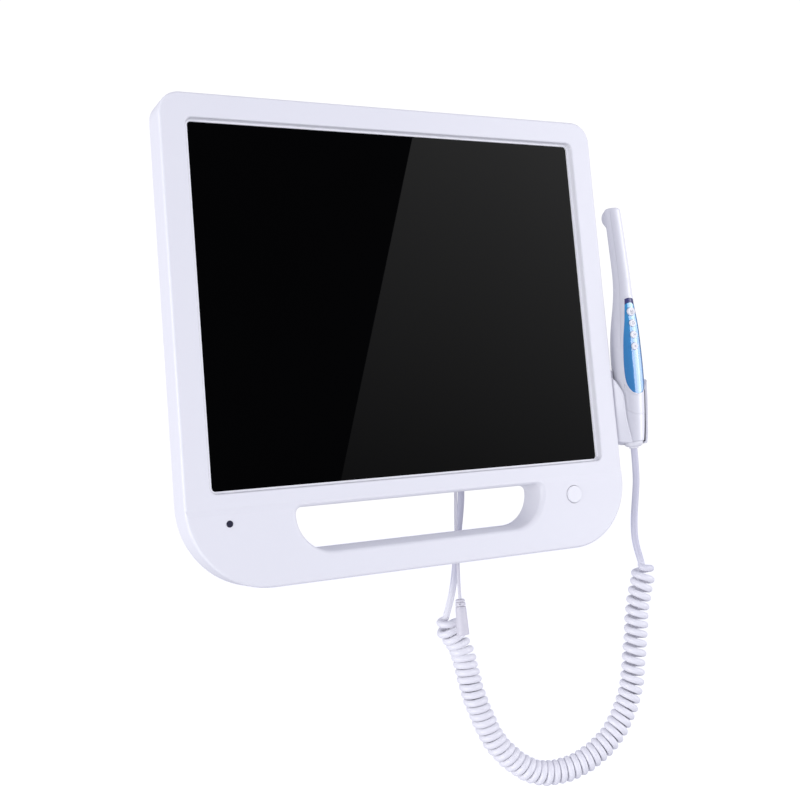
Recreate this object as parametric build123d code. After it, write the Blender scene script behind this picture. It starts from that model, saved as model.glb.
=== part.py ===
from build123d import *
import math
import os

os.makedirs("parts", exist_ok=True)

# Intraoral camera set: a 17 inch dental monitor with a carrying handle in its
# chin, a handpiece in a side holder, its curly cord and a short power lead.
# Millimetres.  X to the right, Z up, the screen faces -Y.  The origin is the
# centre of the four wall-arm threads on the flat back face, +Y points out of
# the back.

# ---------------------------------------------------------------- dimensions
HALF_W = 193.2          # half width of the housing
TOP_Z = 158.1
BOT_Z = -209.5
R_TOP = 17.0            # outline corner radii
R_BOT_L = 63.0
R_BOT_R = 54.0
FRONT_Y = -60.0         # front face of the bezel
CHIN_RISE = 0.7         # the chin stands this far proud of the bezel
SIDE_REAR_Y = -34.0     # rear edge of the bezel's side wall
COVER_Y = -31.4         # rear face of the cover's flat margin
WALL = 2.6
GLASS_W, GLASS_H = 342.0, 274.15   # black area that shows
GLASS_Y = -54.0         # front face of the screen glass
LINE_W = 1.4            # white gasket line round the glass
DRAFT_X, DRAFT_Z = 1.2, 0.6        # flare of the screen opening towards the front

HANDLE_HALF = 108.5     # handle opening
HANDLE_TOP = -153.3
HANDLE_BOT = -188.8
HANDLE_R_BOT = 30.0
HANDLE_R_TOP = 5.0
HANDLE_EDGE_R = 4.0     # rounding of its front rim
HANDLE_BACK = (110.0, -154.5, -185.9)   # its half width, top and bottom at the back

BUTTON_X, BUTTON_Z, BUTTON_R = 140.5, -165.0, 7.2
BUTTON_PROUD = 1.2
BUTTON_TRAVEL = 1.0
IR_X, IR_Z, IR_R = -161.0, -160.7, 2.5

VESA = 100.0            # thread pattern on the back, M4
VESA_R = 1.65           # tapping size of M4

TAIL_X, TAIL_Y = 212.3, -55.5      # axis of the handpiece's tail
LIFT = 80.0             # lift that clears the holder

# (height, offset of the section's centre along Y, radius) of the handpiece
SECTIONS = [
    (-125.0, 0.0, 9.4),
    (-116.0, -0.7, 10.2),
    (-101.0, -1.4, 11.3),
    (-85.0, -1.5, 12.5),
    (-65.0, -1.4, 13.4),
    (-43.0, -1.9, 13.1),
    (-20.0, -3.8, 11.3),
    (0.0, -5.4, 8.7),
    (14.0, -6.2, 7.8),
    (36.0, -5.6, 7.45),
    (58.0, -4.4, 7.25),
    (72.0, -3.4, 7.2),
    (82.0, -2.7, 7.0),
]
SHELL = 1.6             # wall of the handpiece shells
LID_ANGLE = 55.0        # half angle of the front shell, seen along the axis
HEAD_TOP = 82.0
HEAD_Z = 75.0           # height of the lens
LENS_FACE = 8.9         # lens window plane behind the local axis

PANEL_TOP, PANEL_BOT = 0.0, -84.0
WINDOW_BOT = -4.2       # crown of the arch where the panel ends
WINDOW_ARCH = 7.5
HP_BUTTONS = [(-12.3, 3.75), (-22.5, 3.2), (-32.6, 3.2), (-42.8, 3.2)]
HP_TRAVEL = 0.5
HP_PROUD = 1.1

CORD_D = 5.8            # curly cord
COIL_OD = 20.5
DC_D = 2.7              # power lead

# The curly cord's route, from the handpiece's tail to the gland behind the
# monitor: lead, coil and tail.
LEAD = [
    (212.3, -55.5, -127.1),
    (212.3, -55.5, -153.0),
    (209.4, -54.8, -171.5),
    (206.2, -53.8, -191.5),
    (204.9, -53.4, -210.0),
    (206.6, -53.9, -225.0),
]
COIL = [
    (210.6, -55.0, -238.5),
    (206.0, -53.8, -253.0),
    (201.0, -52.4, -271.0),
    (196.9, -51.2, -291.0),
    (193.2, -50.2, -311.0),
    (189.6, -49.2, -331.0),
    (180.6, -46.7, -353.5),
    (166.5, -42.9, -373.0),
    (146.5, -37.3, -387.5),
    (124.0, -31.1, -394.5),
    (103.0, -25.2, -394.3),
    (84.5, -20.0, -382.5),
    (69.5, -15.9, -365.0),
    (60.5, -13.3, -343.0),
    (54.3, -11.6, -321.0),
    (51.6, -8.7, -300.5),
    (48.8, -7.0, -285.5),
    (44.0, -5.2, -272.5),
]
TAIL = [
    (40.9, -3.6, -258.5),
    (45.2, -4.0, -243.9),
    (49.3, -5.6, -228.2),
    (51.6, -7.4, -211.6),
    (54.0, -9.8, -192.5),
    (57.6, -11.0, -173.0),
    (60.0, -12.0, -156.0),
    (60.0, -12.0, -141.1),
]
JOIN = 0.35             # where along the run between them lead and coil meet
DC_ROUTE = [
    (48.0, -23.5, -141.1),
    (48.0, -23.5, -154.0),
    (45.9, -23.6, -173.0),
    (44.2, -23.9, -193.0),
    (43.9, -24.2, -213.0),
    (42.6, -24.5, -230.0),
    (42.6, -24.5, -241.9),
]
DC_X, DC_Y, DC_TOP = 42.6, -24.5, -242.0


# ------------------------------------------------------------------- helpers
def rrect(x0, x1, z0, z1, bl, br, tr, tl):
    """Rounded rectangle in the XZ sketch plane with its own corner radii."""
    s = math.sin(math.radians(45.0))
    e = [Line((x0 + bl, z0), (x1 - br, z0))]
    e += [ThreePointArc((x1 - br, z0), (x1 - br + br * s, z0 + br - br * s), (x1, z0 + br))]
    e += [Line((x1, z0 + br), (x1, z1 - tr))]
    e += [ThreePointArc((x1, z1 - tr), (x1 - tr + tr * s, z1 - tr + tr * s), (x1 - tr, z1))]
    e += [Line((x1 - tr, z1), (x0 + tl, z1))]
    e += [ThreePointArc((x0 + tl, z1), (x0 + tl - tl * s, z1 - tl + tl * s), (x0, z1 - tl))]
    e += [Line((x0, z1 - tl), (x0, z0 + bl))]
    e += [ThreePointArc((x0, z0 + bl), (x0 + bl - bl * s, z0 + bl - bl * s), (x0 + bl, z0))]
    return make_face(e)


def rr(w, h, r, cx=0.0, cz=0.0):
    return rrect(cx - w / 2, cx + w / 2, cz - h / 2, cz + h / 2, r, r, r, r)


def slab(face, y0, y1):
    """Extrude an XZ sketch between two Y planes."""
    return extrude(Plane.XZ.offset(-y1) * face, amount=y1 - y0)


def box(x0, x1, y0, y1, z0, z1):
    return Pos((x0 + x1) / 2, (y0 + y1) / 2, (z0 + z1) / 2) * Box(x1 - x0, y1 - y0, z1 - z0)


def cyl_y(x, z, r, y0, y1):
    return Pos(x, (y0 + y1) / 2, z) * Rot(90, 0, 0) * Cylinder(r, y1 - y0)


def cyl_z(x, y, r, z0, z1):
    return Pos(x, y, (z0 + z1) / 2) * Cylinder(r, z1 - z0)


def cyl_x(y, z, r, x0, x1):
    return Pos((x0 + x1) / 2, y, z) * Rot(0, 90, 0) * Cylinder(r, x1 - x0)


def prism_x(pts, x0, x1):
    """Extrude a YZ polygon between two X planes."""
    f = make_face(Polyline(*[(y, z) for y, z in pts], close=True))
    return extrude(Plane.YZ.offset(x0) * f, amount=x1 - x0)


def save(shape, name):
    if isinstance(shape, (list, tuple, ShapeList)):
        shape = Compound(children=list(shape)) if len(shape) > 1 else shape[0]
    shape.label = name
    export_step(shape, "parts/" + name + ".step")
    return shape


def cord_tube(points, dia, name):
    """Straight runs joined by tangent arcs, each as large as its runs allow."""
    pts = [Vector(*p) for p in points]
    radii = []
    for a, b, c in zip(pts, pts[1:], pts[2:]):
        turn = math.radians((b - a).get_angle(c - b))
        radii.append(0.45 * min((b - a).length, (c - b).length) / math.tan(turn / 2))
    path = FilletPolyline(*pts, radius=radii)
    start = Plane(origin=pts[0], z_dir=(pts[1] - pts[0]))
    tube = sweep(start * Circle(dia / 2), path=path)
    runs = [(b - a).length for a, b in zip(pts, pts[1:])]
    print(name, "length %.1f" % path.length, "volume ratio %.4f"
          % (tube.volume / (math.pi * dia ** 2 / 4 * path.length)))
    print("  radii", [round(r, 1) for r in radii])
    print("  runs", [round(r, 1) for r in runs])
    return tube


def outline(inset):
    return rrect(-HALF_W + inset, HALF_W - inset, BOT_Z + inset, TOP_Z - inset,
                 R_BOT_L - inset, R_BOT_R - inset, R_TOP - inset, R_TOP - inset)


def handle(grow):
    return rrect(-HANDLE_HALF - grow, HANDLE_HALF + grow, HANDLE_BOT - grow, HANDLE_TOP + grow,
                 HANDLE_R_BOT + grow, HANDLE_R_BOT + grow, HANDLE_R_TOP + grow, HANDLE_R_TOP + grow)


def handle_cut():
    """The hand opening, drafted towards the back."""
    hb, zt, zb = HANDLE_BACK
    y0, y1 = FRONT_Y - 4.0, COVER_Y
    front = Plane.XZ.offset(-y0) * handle(0.0)
    back = Plane.XZ.offset(-y1) * rrect(-hb, hb, zb, zt, HANDLE_R_BOT - 4.5, HANDLE_R_BOT - 4.5, HANDLE_R_TOP, HANDLE_R_TOP)
    return loft([front, back], ruled=True) + slab(rrect(-hb, hb, zb, zt, HANDLE_R_BOT - 4.5, HANDLE_R_BOT - 4.5,
                                                        HANDLE_R_TOP, HANDLE_R_TOP), y1 - 0.01, y1 + 2.0)


# -------------------------------------------------------------- front bezel
chin_front = FRONT_Y - CHIN_RISE
open_w, open_h = GLASS_W + 2 * LINE_W, GLASS_H + 2 * LINE_W
opening = slab(rr(open_w, open_h, 5.0), GLASS_Y - 1.4, SIDE_REAR_Y + 1) + loft([
    Plane.XZ.offset(-(GLASS_Y - 1.3)) * rr(open_w, open_h, 5.0),
    Plane.XZ.offset(-(FRONT_Y - 1.0)) * rr(open_w + 2.5 * DRAFT_X, open_h + 2.5 * DRAFT_Z, 5.8)], ruled=True)
upper = slab(outline(0.0), FRONT_Y, SIDE_REAR_Y)
upper = fillet([e for e in upper.edges() if e.bounding_box().max.Y < FRONT_Y + 0.05], 2.2)
upper = upper - opening
upper = fillet([e for e in upper.edges() if e.bounding_box().max.Y < FRONT_Y + 0.05
                and abs(e.center().X) < open_w / 2 + 3.0 and abs(e.center().Z) < open_h / 2 + 3.0], 1.2)
upper = upper - box(-HALF_W - 5, HALF_W + 5, FRONT_Y - 5, SIDE_REAR_Y + 5, BOT_Z - 5, -152.0)
# the chin stands a little proud, with a sloping top edge
lower = slab(rrect(-HALF_W, HALF_W, BOT_Z, -140.0, R_BOT_L, R_BOT_R, 0.001, 0.001), chin_front, SIDE_REAR_Y)
lower = fillet([e for e in lower.edges()
                if e.bounding_box().max.Y < chin_front + 0.05
                and (e.center().Z < -140.5)], 2.2)
lower = lower - handle_cut()
lower = fillet([e for e in lower.edges()
                if e.bounding_box().max.Y < chin_front + 0.05
                and abs(e.center().X) < HANDLE_HALF + 1.5
                and HANDLE_BOT - 1.5 < e.center().Z < HANDLE_TOP + 1.5], HANDLE_EDGE_R - 0.4)
lower = lower - prism_x([(chin_front - 1, -153.5 - 4.0 / 0.9), (chin_front, -153.5), (FRONT_Y, -149.5),
                         (SIDE_REAR_Y + 1, -149.5), (SIDE_REAR_Y + 1, -130.0), (chin_front - 1, -130.0)],
                        -HALF_W - 5, HALF_W + 5)
shell = upper + lower
shell = shell.solids()[0]

cavity = slab(outline(WALL), FRONT_Y + WALL, SIDE_REAR_Y + 1)
cavity = cavity - slab(rr(open_w + 2 * 3.4, open_h + 2 * 3.0, 7.5), FRONT_Y, GLASS_Y - 0.8)
cavity = cavity - slab(handle(3.6), FRONT_Y, SIDE_REAR_Y + 2)
bezel = shell - cavity

# bosses that take the casing screws, joined to the inside of the front
CASE_SCREWS = [(-182.5, 148.0), (0.0, 149.5), (182.5, 148.0), (-182.5, 0.0), (182.5, 0.0),
               (-150.0, -181.0), (150.0, -181.0)]
BOSS_R, PILOT_R = 3.6, 1.3
for x, z in CASE_SCREWS:
    bezel = bezel + cyl_y(x, z, BOSS_R, FRONT_Y + 1.5, SIDE_REAR_Y)
for x, z in CASE_SCREWS:
    bezel = bezel - cyl_y(x, z, PILOT_R, SIDE_REAR_Y - 14.0, SIDE_REAR_Y + 1)

# bore and collar for the power button, hole for the infrared window
bezel = bezel + (cyl_y(BUTTON_X, BUTTON_Z, BUTTON_R + 2.0, FRONT_Y + 1.0, FRONT_Y + 9.0)
                 - cyl_y(BUTTON_X, BUTTON_Z, BUTTON_R + 0.35, FRONT_Y - 5, FRONT_Y + 10.0))
bezel = bezel - cyl_y(BUTTON_X, BUTTON_Z, BUTTON_R + 0.35, FRONT_Y - 5, FRONT_Y + 10.0)
bezel = bezel - cyl_y(IR_X, IR_Z, IR_R + 0.05, FRONT_Y - 5, FRONT_Y + 5.0)
# two holes in the right side wall for the holder's screws
HOLD_SCREWS = [(-46.5, -82.0), (-46.5, -112.0)]
for y, z in HOLD_SCREWS:
    bezel = bezel - cyl_x(y, z, 1.7, HALF_W - WALL - 1, HALF_W + 1)
bezel = max(bezel.solids(), key=lambda s: s.volume)
save(bezel, "front_bezel")

# ------------------------------------------------------------ screen parts
gasket = slab(rr(open_w + 5.0, open_h + 5.0, 6.0), GLASS_Y - 0.8, GLASS_Y) \
    - slab(rr(GLASS_W, GLASS_H, 3.0), GLASS_Y - 2, GLASS_Y + 1)
lip = slab(rr(open_w - 0.1, open_h - 0.1, 4.9), GLASS_Y - 1.3, GLASS_Y - 0.8) \
    - slab(rr(GLASS_W, GLASS_H, 3.0), GLASS_Y - 2, GLASS_Y + 1)
save((gasket + lip).solids()[0], "screen_gasket")
save(slab(rr(352.0, 284.0, 4.0), GLASS_Y, GLASS_Y + 2.0), "screen_glass")
save(slab(rr(352.0, 284.0, 1.0), GLASS_Y + 2.05, GLASS_Y + 3.8), "lcd_cell")
save(slab(rr(355.0, 287.0, 2.0), GLASS_Y + 3.85, GLASS_Y + 11.95), "backlight_unit")

# steel bracket behind the backlight, with four welded standoffs and ears
bracket = slab(rr(330.0, 262.0, 4.0), GLASS_Y + 12.0, GLASS_Y + 13.2)
for sx in (-1, 1):
    bracket = bracket - slab(rr(58.0, 90.0, 6.0, sx * 118.0, 70.0), GLASS_Y + 11, GLASS_Y + 14)
VESA_POS = [(sx * VESA / 2, sz * VESA / 2) for sx in (-1, 1) for sz in (-1, 1)]
for x, z in VESA_POS:
    bracket = bracket + cyl_y(x, z, 6.0, GLASS_Y + 12.5, -6.0)
    bracket = bracket - cyl_y(x, z, VESA_R, GLASS_Y + 16.0, -5.0)
save(bracket.solids()[0], "panel_bracket")

# ---------------------------------------------------------------- rear cover
BULGE = dict(x=158.0, top=134.0, bot=-134.0)
flat = slab(outline(0.25), SIDE_REAR_Y + 0.1, COVER_Y)
low = Plane.XZ.offset(-(COVER_Y - 0.5)) * rrect(-158, 158, -134, 134, 26, 26, 30, 30)
high = Plane.XZ.offset(0.0) * rrect(-128, 128, -132, 98, 20, 20, 24, 24)
bulge = loft([low, high])
low_i = Plane.XZ.offset(-(SIDE_REAR_Y - 0.5)) * rrect(-157, 157, -131.6, 132.5, 24, 24, 28, 28)
high_i = Plane.XZ.offset(2.4) * rrect(-126.5, 126.5, -129.6, 98.0, 18, 18, 22, 22)
bulge_in = loft([low_i, high_i])
cover = flat + bulge
cover = cover.solids()[0]
try:
    hi_edges = [e for e in cover.edges() if e.bounding_box().min.Y > -0.05]
    cover = fillet(hi_edges, 3.0)
except Exception as err:
    print("cover fillet failed:", err)
try:
    m_edges = [e for e in cover.edges() if abs(e.bounding_box().min.Y - COVER_Y) < 0.02
               and abs(e.bounding_box().max.Y - COVER_Y) < 0.02
               and (e.bounding_box().max.X > 158.5 or e.bounding_box().min.X < -158.5
                    or e.bounding_box().max.Z > 134.5 or e.bounding_box().min.Z < -134.5)]
    cover = fillet(m_edges, 1.6)
except Exception as err:
    print("cover margin fillet failed:", err)
cover = cover - bulge_in - handle_cut()
# shallow pocket behind the chin keeps the wall even; ribs stay solid
for x, z in CASE_SCREWS:
    cover = cover - cyl_y(x, z, 1.6, SIDE_REAR_Y - 1, COVER_Y + 1)
    cover = cover - cyl_y(x, z, 2.9, COVER_Y - 1.0, COVER_Y + 1)
for x, z in VESA_POS:
    cover = cover - cyl_y(x, z, 4.6, -8.0, 1.0)
# ventilation slots, upper slope and back face
for i in range(17):
    x = -96.0 + 12.0 * i
    cover = cover - Pos(x, -16.0, 116.0) * Rot(-41.0, 0, 0) * Box(3.0, 40.0, 17.0)
for i in range(15):
    x = -56.0 + 8.0 * i
    cover = cover - slab(rr(2.6, 26.0, 1.29, x, 78.0), -5.0, 1.0)
# holes for the two lead glands in the bottom wall
GLAND = (60.0, -12.0)
DC_GLAND = (48.0, -23.5)
cover = cover - cyl_z(GLAND[0], GLAND[1], 4.6, -138.0, -125.0)
cover = cover - cyl_z(DC_GLAND[0], DC_GLAND[1], 3.1, -138.0, -125.0)
cover = max(cover.solids(), key=lambda s: s.volume)
save(cover, "rear_cover")

# threaded brass inserts on the steel standoffs carry the mounting arm
inserts = []
for x, z in VESA_POS:
    inserts.append(cyl_y(x, z, 4.3, -5.9, 0.0) - cyl_y(x, z, VESA_R, -7.0, 1.0))
save(inserts, "vesa_inserts")

screws = []
for x, z in CASE_SCREWS:
    s = cyl_y(x, z, 2.7, COVER_Y - 0.95, COVER_Y + 0.2) + cyl_y(x, z, PILOT_R - 0.02, SIDE_REAR_Y - 10.0, COVER_Y - 0.5)
    s = s - (Pos(x, COVER_Y, z) * Box(3.2, 1.2, 0.6)) - (Pos(x, COVER_Y, z) * Box(0.6, 1.2, 3.2))
    screws.append(s.solids()[0])
save(screws, "casing_screws")

# ------------------------------------------------------------- electronics
board_y = GLASS_Y + 20.0
main_board = slab(rr(190.0, 120.0, 2.0, 20.0, -40.0), board_y, board_y + 1.6)
for x, z in VESA_POS:
    main_board = main_board - cyl_y(x, z, 6.4, board_y - 1, board_y + 3)
save(main_board.solids()[0], "main_board")
comps = []
for (x, z, w, h, t) in [(0, -30, 28, 28, 2.2), (36, -18, 14, 20, 1.4), (36, -46, 14, 20, 1.4),
                        (84, -30, 12, 12, 3.0), (96, -60, 14, 10, 4.5), (-34, -82, 30, 8, 5.5),
                        (20, -86, 22, 9, 6.0), (80, -88, 16, 9, 6.0)]:
    comps.append(box(x - w / 2, x + w / 2, board_y + 1.62, board_y + 1.6 + t, z - h / 2, z + h / 2))
save(comps, "board_components")
save(box(-6, 6, board_y + 3.85, board_y + 9.0, -36, -24) + box(-14, 14, board_y + 3.85, board_y + 5.0, -44, -16),
     "chip_heatsink")
standoffs = [cyl_y(x, z, 2.5, GLASS_Y + 13.25, board_y) - cyl_y(x, z, 1.2, GLASS_Y + 13.0, board_y + 1)
             for x, z in [(-68, 12), (108, 12), (-68, -92), (108, -92)]]
save(standoffs, "board_standoffs")
save(box(-150, -86, board_y, board_y + 1.6, -90, 30), "power_board")
power_parts = [box(-138, -122, board_y + 1.62, board_y + 12.0, -10, 12), box(-118, -92, board_y + 1.62, board_y + 12.0, -14, 12),
               cyl_y(-132, -40, 5.0, board_y + 1.62, board_y + 12.0), cyl_y(-120, -40, 5.0, board_y + 1.62, board_y + 14.0),
               box(-110, -92, board_y + 1.62, board_y + 8.0, -70, -40)]
save(power_parts, "power_board_components")
save([cyl_y(x, z, 2.5, GLASS_Y + 13.25, board_y) for x, z in [(-145, 24), (-91, 24), (-145, -84), (-91, -84)]],
     "power_board_standoffs")

# --------------------------------------------------------- power button set
btn = cyl_y(BUTTON_X, BUTTON_Z, BUTTON_R, chin_front - BUTTON_PROUD, FRONT_Y + 4.0)
btn = fillet([e for e in btn.edges() if e.center().Y < chin_front - BUTTON_PROUD + 0.1], 0.9)
btn = btn + cyl_y(BUTTON_X, BUTTON_Z, 2.0, FRONT_Y + 3.5, FRONT_Y + 10.0)
save(btn.solids()[0], "power_button")
save(box(BUTTON_X - 13, BUTTON_X + 13, FRONT_Y + 15.2, FRONT_Y + 16.8, BUTTON_Z - 9, BUTTON_Z + 9), "button_board")
save(box(BUTTON_X - 3, BUTTON_X + 3, FRONT_Y + 11.3, FRONT_Y + 15.15, BUTTON_Z - 3, BUTTON_Z + 3), "power_switch")
post = []
for dx in (-10.5, 10.5):
    post.append(cyl_y(BUTTON_X + dx, BUTTON_Z + 6.0, 1.6, FRONT_Y + WALL + 0.05, FRONT_Y + 15.15))
save(post, "button_board_posts")

ir = cyl_y(IR_X, IR_Z, IR_R, chin_front - 0.4, FRONT_Y + 2.6)
ir = fillet([e for e in ir.edges() if e.center().Y < chin_front], 0.35)
ir = ir + cyl_y(IR_X, IR_Z, IR_R + 1.0, FRONT_Y + WALL + 0.02, FRONT_Y + 3.6)
save(ir.solids()[0], "ir_window")
save(box(IR_X - 3.0, IR_X + 3.0, FRONT_Y + 3.7, FRONT_Y + 7.5, IR_Z - 3.4, IR_Z + 3.4), "ir_receiver")
save(box(IR_X - 8, IR_X + 8, FRONT_Y + 7.55, FRONT_Y + 8.8, IR_Z - 6, IR_Z + 6), "ir_board")

# -------------------------------------------------------------- the holder
def sec_at(z):
    for (za, ca, ra), (zb, cb, rb) in zip(SECTIONS, SECTIONS[1:]):
        if za <= z <= zb:
            k = (z - za) / (zb - za)
            return ca + k * (cb - ca), ra + k * (rb - ra)
    return (SECTIONS[0][1], SECTIONS[0][2]) if z < SECTIONS[0][0] else (SECTIONS[-1][1], SECTIONS[-1][2])


def ring(z, grow, c=None, r=None):
    cc, rr_ = sec_at(z)
    cc = cc if c is None else c
    rr_ = rr_ if r is None else r
    return Plane(origin=(TAIL_X, TAIL_Y + cc, z)) * Circle(rr_ + grow)


HOLD_TOP, HOLD_BOT = -62.0, -127.4
hz = [-133.0, -124.0, -112.0, -98.0, -85.0, -72.0, -60.0]
hr_in = [9.7, 10.4, 11.5, 12.5, 13.45, 14.2, 14.5]
hc = [-0.2, -0.3, -0.9, -1.4, -1.5, -1.45, -1.4]
inner = loft([Plane(origin=(TAIL_X, TAIL_Y + c, z)) * Circle(r) for z, c, r in zip(hz, hc, hr_in)])
oz = [-127.4, -124.0, -112.0, -98.0, -85.0, -72.0, -62.0]
hr_out = [12.0, 12.8, 13.95, 15.05, 15.95, 16.6, 16.9]
oc = [-0.2, -0.3, -0.9, -1.4, -1.5, -1.45, -1.4]
WEB_FRONT, WEB_BACK = -57.3, -41.0


def cup_section(z, c, r):
    """Round cup with straight flanks that run tangent to it from the housing's side wall."""
    cx, cy = TAIL_X, TAIL_Y + c

    def touch(py, side):
        dx, dy = HALF_W - cx, py - cy
        a = math.atan2(dy, dx) + side * math.acos(r / math.hypot(dx, dy))
        return a, (cx + r * math.cos(a), cy + r * math.sin(a))

    a1, t1 = touch(WEB_FRONT, 1)
    a2, t2 = touch(WEB_BACK, -1)
    a1 -= 2 * math.pi * (a1 > 0)
    pt = lambda a: (cx + r * math.cos(a), cy + r * math.sin(a))
    am = 0.5 * (a1 + a2)
    return Plane.XY.offset(z) * make_face([
        Line((HALF_W, WEB_FRONT), t1), ThreePointArc(t1, pt(0.5 * (a1 + am)), pt(am)),
        ThreePointArc(pt(am), pt(0.5 * (am + a2)), t2), Line(t2, (HALF_W, WEB_BACK)),
        Line((HALF_W, WEB_BACK), (HALF_W, WEB_FRONT))])


outer = loft([cup_section(z, c, r) for z, c, r in zip(oz, oc, hr_out)])
print("cup", outer.is_valid, round(outer.volume))
# the foot rises towards the housing
rise = make_face(Polyline((HALF_W - 5, -123.4), (HALF_W + 1.5, -124.2), (208.0, HOLD_BOT), (208.0, -140.0),
                          (HALF_W - 5, -140.0), close=True))
outer = outer - slab(rise, -80.0, -30.0)
for r in (2.4, 1.8, 1.2, 0.7):
    try:
        new = fillet([e for e in outer.edges() if e.center().Z < -124.5 and e.center().X > HALF_W + 0.5
                      and not (e.bounding_box().min.X > 207.9 and e.bounding_box().max.X < 208.1)], r)
        if new.is_valid:
            outer = new
            print("cup foot", r)
            break
    except Exception as err:
        print("cup foot", r, "failed:", err)
room = inner & box(TAIL_X - 30, TAIL_X + 30, TAIL_Y - 30, TAIL_Y + 30, -125.7, -59.0)
holder = outer - room - cyl_z(TAIL_X, TAIL_Y - 0.1, 9.0, -133.0, -120.0)
# the front opening sweeps out from the foot; the left lip reaches the housing
hl = [(7.9, -133.0), (7.9, -126.0), (8.3, -123.5), (9.6, -116.6), (10.8, -108.6), (11.6, -101.6), (12.0, -95.1),
      (12.35, -88.7), (12.9, -82.8), (14.2, -77.5), (15.9, -72.1), (17.4, -69.0), (19.1, -66.8), (25.0, -60.0)]
hr = [(7.9, -133.0), (7.9, -126.0), (8.0, -123.5), (9.0, -116.6), (10.0, -108.6), (10.7, -101.6), (11.1, -95.1),
      (11.4, -88.7), (12.1, -81.5), (14.0, -75.6), (16.5, -71.0), (21.0, -67.5), (27.0, -64.0)]
left = [(TAIL_X - x, z) for x, z in hl]
right = [(TAIL_X + x, z) for x, z in hr]
face = make_face([Spline(*left), Line(left[-1], (right[-1][0], left[-1][1])), Line((right[-1][0], left[-1][1]), right[-1]),
                  Spline(*right[::-1]), Line(right[0], left[0])])
front_cut = slab(face, TAIL_Y - 30.0, TAIL_Y + 1.0)
holder = holder - front_cut
# the right wing ends square to its own wall, well round to the side
WING_ANGLE = 64.0


def wing_cut(extra):
    a = math.radians(WING_ANGLE + extra)
    c = (TAIL_X, TAIL_Y - 1.2)
    far = (c[0] + 60 * math.sin(a), c[1] - 60 * math.cos(a))
    f = Plane.XY.offset(-135.0) * make_face(Polyline(c, (c[0], c[1] - 60.0), (far[0], c[1] - 60.0), far, close=True))
    return extrude(f, amount=80.0)


holder = holder - wing_cut(0.0)
for y, z in HOLD_SCREWS:
    holder = holder - cyl_x(y, z, 1.25, HALF_W - 1, HALF_W + 6.0)
holder = max(holder.solids(), key=lambda s: s.volume)
for tag, pick, rad in [("rim", lambda e: e.center().Z > HOLD_TOP - 0.3, (0.6, 0.4)),
                       ("lip", lambda e: e.center().Y < TAIL_Y - 6.0 and e.length > 8.0
                        and HOLD_BOT + 2.0 < e.center().Z < -67.0 and abs(e.center().X - TAIL_X) < 17.0, (0.8, 0.6, 0.45, 0.3))]:
    for r in rad:
        try:
            es = [e for e in holder.edges() if pick(e)]
            new = fillet(es, r)
            if new.is_valid and new.volume > 0.9 * holder.volume:
                holder = new
                print("holder", tag, "fillet", r, "edges", len(es))
                break
        except Exception as err:
            print("holder", tag, "fillet", r, "failed:", err)
if isinstance(holder, Compound):
    holder = max(holder.solids(), key=lambda s: s.volume)
save(holder, "handpiece_holder")
# soft dark lining inside the cup, set back from its lips
lining_in = loft([Plane(origin=(TAIL_X, TAIL_Y + c, z)) * Circle(r - 0.4) for z, c, r in zip(hz, hc, hr_in)])
lining = (inner - lining_in) & box(TAIL_X - 25, TAIL_X + 25, TAIL_Y - 25, TAIL_Y + 25, -125.0, -72.0)
set_back = make_face([Spline(*[(x - 0.3, z) for x, z in left]),
                      Line((left[-1][0] - 0.3, left[-1][1]), (right[-1][0] + 0.3, left[-1][1])),
                      Line((right[-1][0] + 0.3, left[-1][1]), (right[-1][0] + 0.3, right[-1][1])),
                      Spline(*[(x + 0.3, z) for x, z in right[::-1]]),
                      Line((right[0][0] + 0.3, right[0][1]), (left[0][0] - 0.3, left[0][1]))])
lining = lining - slab(set_back, TAIL_Y - 30.0, TAIL_Y + 1.0) - wing_cut(0.6)
lining = max(lining.solids(), key=lambda s: s.volume)
save(lining, "holder_lining")
hs = []
for y, z in HOLD_SCREWS:
    s = cyl_x(y, z, 2.8, HALF_W - WALL - 1.6, HALF_W - WALL) + cyl_x(y, z, 1.22, HALF_W - WALL - 0.5, HALF_W + 4.5)
    hs.append(s.solids()[0])
save(hs, "holder_screws")

# ------------------------------------------------------------ the handpiece
def body_loft(grow, z_lo=None, z_hi=None):
    rows = list(SECTIONS)
    faces = []
    for z, c, r in rows:
        faces.append(Plane(origin=(TAIL_X, TAIL_Y + c, z)) * Circle(r + grow))
    return loft(faces)


body = body_loft(0.0)
body = fillet([e for e in body.edges() if e.center().Z > HEAD_TOP - 1.0], 2.6)
body = fillet([e for e in body.edges() if e.center().Z < -124.9], 1.2)
c_head = -3.4
# the lens boss leans out of the neck and ends flush with the head's top
yh = TAIL_Y + c_head
boss = loft([Plane(origin=(TAIL_X, yh, HEAD_TOP - 13.0), x_dir=(1, 0, 0), z_dir=(0, 1, 0)) * Ellipse(6.9, 12.9),
             Plane(origin=(TAIL_X, yh + LENS_FACE, HEAD_Z), x_dir=(1, 0, 0), z_dir=(0, 1, 0)) * Ellipse(6.8, 6.9)])
boss = fillet([e for e in boss.edges() if e.center().Y > yh + 2.0 and e.length > 20.0], 1.7)
outer_body = (body + boss).solids()[0]
for r in (1.5, 1.0, 0.6, 0.3):
    try:
        nz = [e for e in outer_body.edges()
              if 55.0 < e.center().Z < HEAD_TOP - 1.0 and yh + 0.5 < e.center().Y < yh + LENS_FACE - 1.8
              and e.length > 3.0]
        new = fillet(nz, r)
        if new.is_valid:
            outer_body = new
            print("head blend", r, len(nz))
            break
    except Exception as err:
        print("head blend", r, "failed:", err)
inner_loft = body_loft(-SHELL)
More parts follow.
